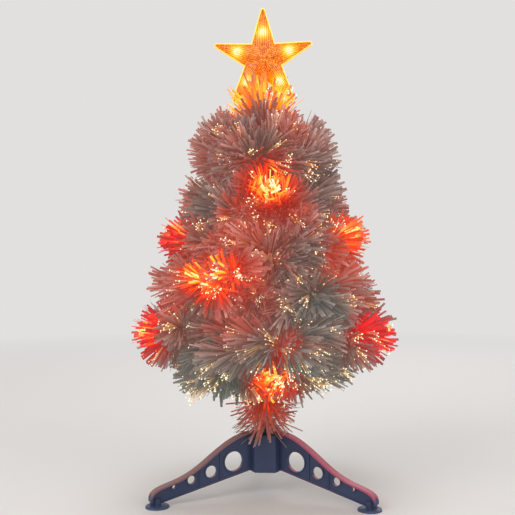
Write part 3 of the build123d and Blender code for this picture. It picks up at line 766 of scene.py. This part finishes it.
def needle_paint(name, own=None, lamp_redness=0.0):
    """Needles: white strips in a painted mauve cast of the lamps' red light, with painted shade and red light
    deeper inside, lit through where a lamp or the star is near.
    """
    paint = Paint(name)
    along = paint.own("along")
    tint = paint.own("tint")
    fan = paint.own("fan")
    patches = paint.noise(14, 2)
    height = paint.upward(paint.place)
    grey = (paint.nearest(spots(grey_places)) * 2.4).clamp()
    teal = (paint.nearest(spots(teal_places)) * 1.8).clamp()
    teal = paint.maths("MAXIMUM", height.rise(*low_needles), teal)
    cool = paint.maths("MAXIMUM", teal * fan.span(0.72, 1), grey * fan.span(0.55, 1))
    tone = paint.layered(
        paint.ramp(patches * 0.4 + fan * 0.62, *needle_stops),
        (tint, 2.2, -1.4, 0.4, (232, 194, 184)),
        # painted light along each strip: a painted highlight towards its tip, and towards its root painted
        # shade with the red light inside the tree
        (along, 2, -1.2, 0.22, (222, 190, 184)),
        (along, -0.9, 0.5, 1, (170, 86, 66)),
        (cool, 1, 0, 1, paint.mix(teal, (138, 118, 111), (121, 131, 125))),
        (paint.nearest(spots(blush_places)), 2, 0, fan.span(0.95, 0.5), (220, 90, 68)),
        (tint, 2.2, -1.3, 0.28, (214, 200, 192)),
        (tint, -2.4, 1, 0.2, (104, 66, 60)))
    # painted light: the foot needles redden towards the lamps above them
    if lamp_redness:
        red = paint.ramp(patches * 0.6 + tint * 0.5, *foot_lamp_stops)
        tone = paint.mix(height.rise(*red_foot).span(0.35, 1) * lamp_redness, tone, red)
    glow = (0, 0, 0)
    for centre, radius, hue in lights_in_needles(own):
        stops, body, caught, speed, share = hues[hue]
        heat = paint.near(centre, radius) * tint.span(*caught)
        glow = paint.mix(1.0, glow, paint.ramp(heat, (0, 0, 0, 0), *stops), "LIGHTEN")
        # painted light: near a lamp, the strips' colour turns to the colour that its light gives them
        tone = paint.mix((heat * speed).clamp() * share, tone, body)
    glow = paint.mix(1.0, glow, paint.vector("SCALE", tone, needle_inner_light), "LIGHTEN")
    grain = paint.noise(900, 2)
    return paint.finish(
        Base_Color=tone, Roughness=grain.span(0.42, 0.62), Emission_Color=glow, Emission_Strength=1.0,
        Specular_IOR_Level=0.4, Normal=paint.bump(grain, 0.25, 0.0002))


def fibre_paint():
    """Optical fibres: clear stems that carry a little light, with bright ends in warm tints."""
    paint = Paint("optical_fibre")
    ends = paint.ramp(paint.own("tint") * 0.35 + paint.own("bunch") * 0.65, *fibre_stops)
    ends = paint.mix(paint.upward(paint.place).rise(*low_fibres) * 0.6, ends, (232, 240, 196))
    stem = paint.mix(1.0, ends, (176, 140, 108), "MULTIPLY")
    glow = paint.mix(paint.own("lit"), paint.mix(paint.own("along") ** 1.4, (0, 0, 0), stem), ends)
    return paint.finish(
        Base_Color=(196, 176, 160), Roughness=paint.noise(700, 2).span(0.12, 0.22), Emission_Color=glow,
        Emission_Strength=1.3, Coat_Weight=0.3)


def wire_paint():
    """Galvanised wire with dull grey patches."""
    paint = Paint("twisted_wire")
    patches = paint.noise(260)
    tone = paint.ramp(patches, (0.3, 98, 94, 92), (0.7, 168, 164, 160))
    return paint.finish(Base_Color=tone, Metallic=0.85, Roughness=patches.span(0.32, 0.62))


def star_paint():
    """The star's clear amber plastic, lit from inside by a lamp in each point."""
    paint = Paint("star_amber")
    rim = paint.own("rim")
    rib = paint.own("rib")
    grain = paint.noise(330, 3)
    flecks = paint.noise(560, 2)
    heat = paint.nearest([(place, star_lamp_radius) for place in star_lamp_places()])
    heat = (heat * rib.span(0.85, 1.2)).clamp()
    cold = 1 - heat
    tone = paint.layered(
        paint.ramp(rib * 0.7 + grain * 0.5, (0.25, 150, 30, 0), (0.55, 226, 96, 0), (0.9, 255, 166, 16)),
        (flecks, 12, -6.48, cold * 0.55, (150, 30, 0)),
        (rim, 1, 0, 0.7, (255, 214, 110)))
    glow = paint.layered(
        paint.ramp(heat, *amber_stops),
        (rib, -1.6, 0.992, cold, (84, 22, 0)),
        (rib, 9, -8.1, grain.span(0.3, 0.8), (236, 168, 30)),
        (flecks, 12, -6.48, cold * 0.65, (110, 14, 0)),
        (flecks, -12, 5.52, 0.5, (255, 196, 50)),
        (rim, 1, 0, grain.span(0.6, 1), (255, 214, 84)))
    return paint.finish(
        Base_Color=tone, Roughness=grain.span(0.16, 0.34), Emission_Color=glow, Emission_Strength=0.85,
        Specular_IOR_Level=0.3, Coat_Weight=0.25, Normal=paint.bump(grain, 0.35, 0.0006))


def stand_paint(name, across=None, lamp_glow=None):
    """Moulded plastic with a fine grain, painted slate blue as pale plastic looks in dim bluish shade, and a
    painted rose glow of the lamps' red light on a leg's flange, across from its web.
    """
    paint = Paint(name)
    grain = paint.noise(1400, 2)
    cloud = paint.noise(28, 3)
    # painted shade: slate blue, the tone that the pale plastic shows in dim bluish light
    tone = paint.ramp(cloud, (0.3, 48, 62, 96), (0.7, 58, 74, 110))
    tone = paint.mix(grain * 0.35, tone, (40, 48, 72))
    # painted light: a rose glow of the lamps' red light on the leg's upward faces and flange
    if across:
        up = paint.upward(paint.add("ShaderNodeNewGeometry", output="Normal"))
        aside = paint.maths("ABSOLUTE", paint.vector("DOT_PRODUCT", paint.place, across, output="Value"))
        flange = paint.maths("MAXIMUM", up.rise(0.4, 0.65), aside.rise(flange_inside, flange_inside * 1.25))
        flange = flange * paint.upward(paint.place).rise(lamp_glow_from, lamp_glow_from * 1.5) * cloud.span(0.75, 1)
        tone = paint.mix(flange, tone, lamp_glow)
    relief = paint.bump(grain, 0.3, 0.00025)
    return paint.finish(Base_Color=tone, Roughness=grain.span(0.42, 0.58), Normal=relief)


def plain_paint(name, dark, light, scale, roughness, metallic=0.0):
    """A plain finish with cloudy tone and a fine grain."""
    paint = Paint(name)
    tone = paint.ramp(paint.noise(scale), (0.3, *dark), (0.7, *light))
    grain = paint.noise(scale * 9, 2)
    rough = grain.span(roughness, roughness + 0.14)
    relief = paint.bump(grain, 0.2, 0.0002)
    return paint.finish(Base_Color=tone, Metallic=metallic, Roughness=rough, Normal=relief)


def lamp_paint(name, colour, core):
    """A lit lamp: a hot core in a coloured bulb."""
    paint = Paint(name)
    cloud = paint.noise(500)
    rough = cloud.span(0.2, 0.3)
    glow = paint.ramp(cloud, (0.25, *colour), (0.75, *core))
    return paint.finish(Base_Color=colour, Roughness=rough, Emission_Color=glow, Emission_Strength=2.0)


def star_lamp_places():
    """The lamps in the star's points, on its front and back."""
    places = []
    for i in range(star_points):
        turn = pi / 2 + 2 * star_turn * i
        middle = star_centre + Vector((cos(turn), 0, sin(turn))) * star_lamp_reach
        places += [middle + Vector((0, side * star_rim_depth * 2, 0)) for side in (-1, 1)]
    return places


def star_edge(share):
    """A point on the outline of half a star's point, from the notch to the rounded tip."""
    half = star_half_angle
    touch = Vector((star_round_x + star_round * sin(half), star_round * cos(half)))
    notch = Vector((star_notch * cos(star_turn), star_notch * sin(star_turn)))
    straight = (touch - notch).length
    arc = star_round * (pi / 2 - half)
    far = share * (straight + arc)
    if far < straight:
        return notch.lerp(touch, far / straight)
    angle = pi / 2 - half - (far - straight) / star_round
    return Vector((star_round_x + star_round * cos(angle), star_round * sin(angle)))


def star_edge_gap(point):
    """How far a point inside half a star's point is from its outline."""
    half = star_half_angle
    gap = (star_radius - point.x) * sin(half) - point.y * cos(half)
    if (point.x - star_round_x) > point.y * tan(half) and point.x > star_round_x:
        gap = min(gap, star_round - (point - Vector((star_round_x, 0))).length)
    return max(gap, 0)


def star_relief(point):
    """Height, rim share and rib share of the star's face at a point of half a point of it."""
    low = star_rim_depth / 2
    tip_x = star_radius * star_face_shares[0]
    notch = star_notch * star_face_shares[1]
    slope_x = (star_peak - low) / tip_x
    slope_y = (star_peak - low - slope_x * notch * cos(star_turn)) / (notch * sin(star_turn))
    face = star_peak - slope_x * point.x - slope_y * point.y
    gap = star_edge_gap(point)
    if gap < star_rim_width:
        rim = sqrt(max(0, 1 - (2 * gap / star_rim_width - 1) ** 2))
        bead = star_rim_depth - star_rib_height + star_rim_bead * rim
        return max(face - star_rib_height, bead), rim, 1.0
    across = abs(sin(pi * point.y / star_rib_pitch))
    cuts = 0.5 + 0.5 * sin(2 * pi * point.x / star_cut_pitch + star_cut_slant * point.y / star_rib_pitch)
    crease = abs(point.x * sin(star_turn) - point.y * cos(star_turn))
    line = max(0.0, 1 - abs(crease - star_crease_width) / star_crease_width)
    rib = star_rib_share * across + (1 - star_rib_share) * cuts * min(1, point.length / star_notch)
    rib = max(rib, line)
    away = min(1, point.length / (star_flat_ribs * star_rib_pitch))
    height = max(face, star_rim_depth - star_rib_height) - star_rib_height * (1 - rib) * away
    return height, 0.0, rib


def star_face(name, side):
    """Half of the star: fine ribs along each point, creases to the notches and a round bead as its rim."""
    rows = [(star_centre + Vector((0, side * (star_peak - star_rib_height), 0)), 0.0, 0.5)]
    columns = 2 * star_points * star_steps_edge
    for ring in range(1, star_steps_out + 1):
        out = 1 - (1 - ring / star_steps_out) ** star_ring_power
        for column in range(columns):
            half, step = divmod(column, star_steps_edge)
            share = step / star_steps_edge if half % 2 else 1 - step / star_steps_edge
            flip = -1 if half % 2 else 1
            flat = star_edge(share) * out
            height, rim, rib = star_relief(flat)
            turn = pi / 2 + 2 * star_turn * ((half + 1) // 2)
            x = flat.x * cos(turn) - flip * flat.y * sin(turn)
            z = flat.x * sin(turn) + flip * flat.y * cos(turn)
            rows.append((star_centre + Vector((x, side * height, z)), rim, rib))
    outer = 1 + (star_steps_out - 1) * columns
    base = len(rows)
    rows += [(Vector((point.x, 0, point.z)), 1.0, 1.0) for point, rim, rib in rows[outer:]]
    rows.append((star_centre, 0.0, 0.5))
    faces = []
    for column in range(columns):
        after = (column + 1) % columns
        faces.append((0, 1 + column, 1 + after))
        for low in range(1, outer, columns):
            high = low + columns
            faces.append((low + column, high + column, high + after, low + after))
        faces.append((outer + column, base + column, base + after, outer + after))
        faces.append((base + column, base + columns, base + after))
    if side > 0:
        faces = [face[::-1] for face in faces]
    points, rims, ribs = zip(*rows)
    return mesh_piece(name, points, faces, smooth=True, rim=rims, rib=ribs)


def eye(name, branch):
    """The eye at the end of a branch's wire, round its hinge pin."""
    bevelled = eye_outer - eye_bevel
    shoulder = eye_half_width - eye_bevel
    profile = [(eye_inner, -eye_half_width), (bevelled, -eye_half_width), (eye_outer, -shoulder),
               (eye_outer, shoulder), (bevelled, eye_half_width), (eye_inner, eye_half_width)]
    count = len(profile)
    points = []
    faces = []
    for i in range(eye_steps):
        turn = 2 * pi * i / eye_steps
        radial = branch.out * cos(turn) + UP * sin(turn)
        points += [branch.hinge + radial * r + branch.side * w for r, w in profile]
        n = (i + 1) % eye_steps
        for j in range(count):
            k = (j + 1) % count
            faces.append((i * count + j, n * count + j, n * count + k, i * count + k))
    return mesh_piece(name, points, faces)


def make_needles(name, body, paths, kits, plan, *nodes, **values):
    """A brush of needles on its body, by its plan, for the nodes that it stands for."""
    spacing, root, tip, spread, hang, length_spread, seed = plan
    needles = grown(name, paths, kits["needles"], Spacing=spacing * MM, Lean_at_root=radians(root),
                    Lean_at_tip=radians(tip), Lean_spread=radians(spread), Hang=hang,
                    Length_spread=length_spread, Seed=seed, **values)
    dress(needles, body, "needles", *nodes)


def make_branch(branch, kits, paints):
    """A branch's needles, fibres, wires and eye, each one piece on the branch's body."""
    tier, number = branch.key
    end = f"_{tier}_{number}"
    seed = 100 * tier + number
    paths = branch.paths(random.Random(seed))
    make_needles("needles" + end, branch.body, paths, kits, (*tier_needles[tier - 1], seed), branch.body,
                 Material=paints.get(branch.key, paints["plain"]))
    fibres = grown("fibres" + end, paths, kits["fibres"], Spacing=bunch_spacing[tier - 1], Lean=bunch_lean,
                   Hang=fibre_hang[tier - 1], Shortening=fibre_shortening, Seed=seed)
    dress(fibres, branch.body, "fibres", branch.body)
    dress(grown("wires" + end, paths, kits["wires"]), branch.body, "hinge_steel")
    ring = eye("eye" + end, branch)
    ring.data.materials.append(paints["wire"])
    dress(ring, branch.body, "hinge_steel")


def trunk_path(low, high):
    """A path up the trunk's axis."""
    steps = 4
    return [[Vector((0, 0, low + (high - low) * i / steps)) for i in range(steps + 1)]]


def make_trunk(strands, kits, paints):
    """What is wound round the trunk: needles at its foot, along it and in its crown, and fibres."""
    tube_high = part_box("trunk_tube")[1]
    collar_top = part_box("trunk_collar")[1].z
    foot_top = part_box("trunk_needles")[1].z
    crown_foot = tube_high.z - crown_height
    root_radius = tube_high.x + trunk_needle_gap
    plan = (  # a piece's strand and finish, its stretch of the trunk and the node that it stands for
        ("foot_needles", "foot", "foot", foot_top, collar_top - foot_overlap, ["trunk_needles"]),
        ("inner_needles", "branch", "plain", foot_top, crown_foot, []),
        ("crown_tuft", "crown", "plain", crown_foot, tube_high.z - crown_top_gap, ["crown_needles"]),
    )
    for name, strand, finish, start, end, nodes in plan:
        make_needles(name, "trunk", trunk_path(start, end), kits, trunk_needles[name], *nodes,
                     Strand=strands[strand], Material=paints[finish], Root_radius=root_radius)
    fibres = grown("trunk_fibres", trunk_path(collar_top + trunk_fibre_gap, tube_high.z), kits["fibres"],
                   Spacing=trunk_bunch_spacing, Lean=trunk_bunch_lean, Hang=trunk_fibre_hang, Shortening=0.0,
                   Seed=trunk_fibre_seed)
    dress(fibres, "trunk", "fibres")


def paint_frame():
    """A finish for each piece of the frame that stays."""
    blue = stand_paint("stand_blue")
    steel = plain_paint("hinge_steel", (120, 118, 116), (172, 170, 168), 300, 0.3, 0.9)
    lamp = lamp_paint("lamp_bulb", (255, 96, 40), (255, 220, 120))
    pad = plain_paint("pad_blue", (58, 70, 102), (72, 86, 120), 120, 0.5)
    finishes = {
        "stand_hub": blue, "base_cover": blue, "trunk_collar": blue, "top_spike": blue,
        "cover_screws": steel, "hinge_collars": steel, "hinge_pins": steel,
        "light_board": plain_paint("circuit_board", (24, 84, 48), (40, 112, 66), 160, 0.4),
        "dc_inlet": plain_paint("inlet_black", (18, 18, 20), (34, 34, 36), 240, 0.4),
        "trunk_tube": plain_paint("trunk_white", (176, 146, 138), (206, 190, 184), 60, 0.4),
        "fibre_ferrule": plain_paint("ferrule_grey", (84, 84, 88), (112, 112, 116), 240, 0.45),
        "fibre_bundle": plain_paint("fibre_stack", (190, 186, 176), (232, 230, 222), 420, 0.15),
        "star_socket": plain_paint("socket_clear", (220, 120, 60), (250, 170, 90), 200, 0.25),
        "trunk_lamps": lamp, "star_lights": lamp,
    }
    for leg, lamp_glow in leg_lamp_glow.items():
        middle = box_centre(leg)
        out = Vector((middle.x, middle.y, 0)).normalized()
        finishes[leg] = stand_paint(leg + "_paint", (-out.y, out.x, 0), lamp_glow)
        finishes[leg.replace("stand_leg", "foot_pad")] = pad
    for own in lit_branches.values():
        finishes[own[0]] = lamp
    for node, material in finishes.items():
        mesh = frame["nodes"][node].data
        mesh.materials.clear()
        mesh.materials.append(material)


def make_star():
    """The star's two ribbed halves."""
    material = star_paint()
    for name, side, node in (("star_face_front", -1, "star_front"), ("star_face_back", 1, "star_back")):
        half = star_face(name, side)
        half.data.materials.append(material)
        dress(half, "star", "star_plastic", node)


def make_tree():
    """Every branch, the trunk and the star."""
    strands = {
        "branch": needle_strand("needle_strand", needle_length, needle_width),
        "crown": needle_strand("crown_needle_strand", crown_needle_length, needle_width),
        "foot": needle_strand("foot_needle_strand", foot_needle_length, foot_needle_width),
        "fibre": fibre_strand(),
    }
    paints = {
        "plain": needle_paint("needles_plain"),
        "foot": needle_paint("needles_foot", lamp_redness=0.8),
        "fibre": fibre_paint(),
        "wire": wire_paint(),
    }
    for key, own in lit_branches.items():
        paints[key] = needle_paint("needles_lit_" + own[0], own)
    kits = {
        "needles": (needle_maker(), {
            "Strand": strands["branch"], "Root radius": wire_radius, "Bend": needle_length * bend_share,
            "Shortening": 0.0}),
        "fibres": (fibre_maker(), {
            "Strand": strands["fibre"], "Material": paints["fibre"], "Count": fibres_in_bunch,
            "Spread": bunch_spread, "Bend": fibre_length * bend_share, "Length spread": fibre_length_spread}),
        "wires": (wire_maker(), {
            "Material": paints["wire"], "Step": wire_step, "Radius": wire_radius, "Twist": wire_twist}),
    }
    for tier in range(1, tiers + 1):
        for number in range(1, branches_per_tier + 1):
            make_branch(Branch(tier, number), kits, paints)
    make_trunk(strands, kits, paints)
    make_star()
    for strand in strands.values():
        bpy.data.objects.remove(strand)


def make_camera():
    """The camera of the photograph: level, from the front and a little right of it."""
    back = Vector((sin(camera_turn), -cos(camera_turn), 0))
    right = Vector((cos(camera_turn), sin(camera_turn), 0))
    camera = placed("camera", bpy.data.cameras.new("camera"))
    camera.data.sensor_width = sensor_width
    camera.data.lens = focal_share * sensor_width
    camera.location = back * camera_distance - right * camera_aside + UP * camera_height
    aim = (-back).to_track_quat("-Z", "Y") @ Quaternion((0, 0, 1), camera_roll)
    camera.rotation_euler = aim.to_euler()
    bpy.context.scene.camera = camera


def make_floor():
    """A pale floor that fades into a pale backdrop."""
    half = floor_size / 2
    corners = [(-half, -half, 0), (half, -half, 0), (half, half, 0), (-half, half, 0)]
    floor = mesh_piece("floor", corners, [(0, 1, 2, 3)])
    paint = Paint("floor_pale")
    fade = paint.vector("LENGTH", paint.place, output="Value").rise(backdrop_from, backdrop_to)
    seen = paint.add("ShaderNodeLightPath", output="Is Camera Ray")
    surface = paint.add("ShaderNodeBsdfDiffuse", {"Color": floor_colour})
    light = paint.add("ShaderNodeEmission", {"Color": floor_colour})
    mixed = paint.add("ShaderNodeMixShader", {"Fac": fade * seen, 1: surface, 2: light})
    paint.add("ShaderNodeOutputMaterial", {"Surface": mixed})
    floor.data.materials.append(paint.material)


def make_lights():
    """A world that looks like the backdrop but gives less light, and soft lights."""
    world = bpy.data.worlds.new("studio")
    bpy.context.scene.world = world
    world.use_nodes = True
    web = Web(world.node_tree)
    web.tree.nodes.clear()
    path = web.add("ShaderNodeLightPath", output="Is Camera Ray")
    shows = (path + path.other("Is Glossy Ray") + path.other("Is Transmission Ray")).clamp()
    sky = {"Color": floor_colour, "Strength": shows.span(sky_light, 1)}
    web.add("ShaderNodeOutputWorld", {"Surface": web.add("ShaderNodeBackground", sky)})
    for i, (place, size, power) in enumerate(soft_lights):
        light = bpy.data.lights.new(f"soft_light_{i + 1}", "AREA")
        light.size = size
        light.energy = power
        holder = placed(light.name, light)
        holder.location = place
        holder.rotation_euler = (light_aim - Vector(place)).to_track_quat("-Z", "Y").to_euler()


bpy.context.scene.view_settings.view_transform = "Standard"
make_camera()
make_floor()
make_lights()
paint_frame()
make_tree()
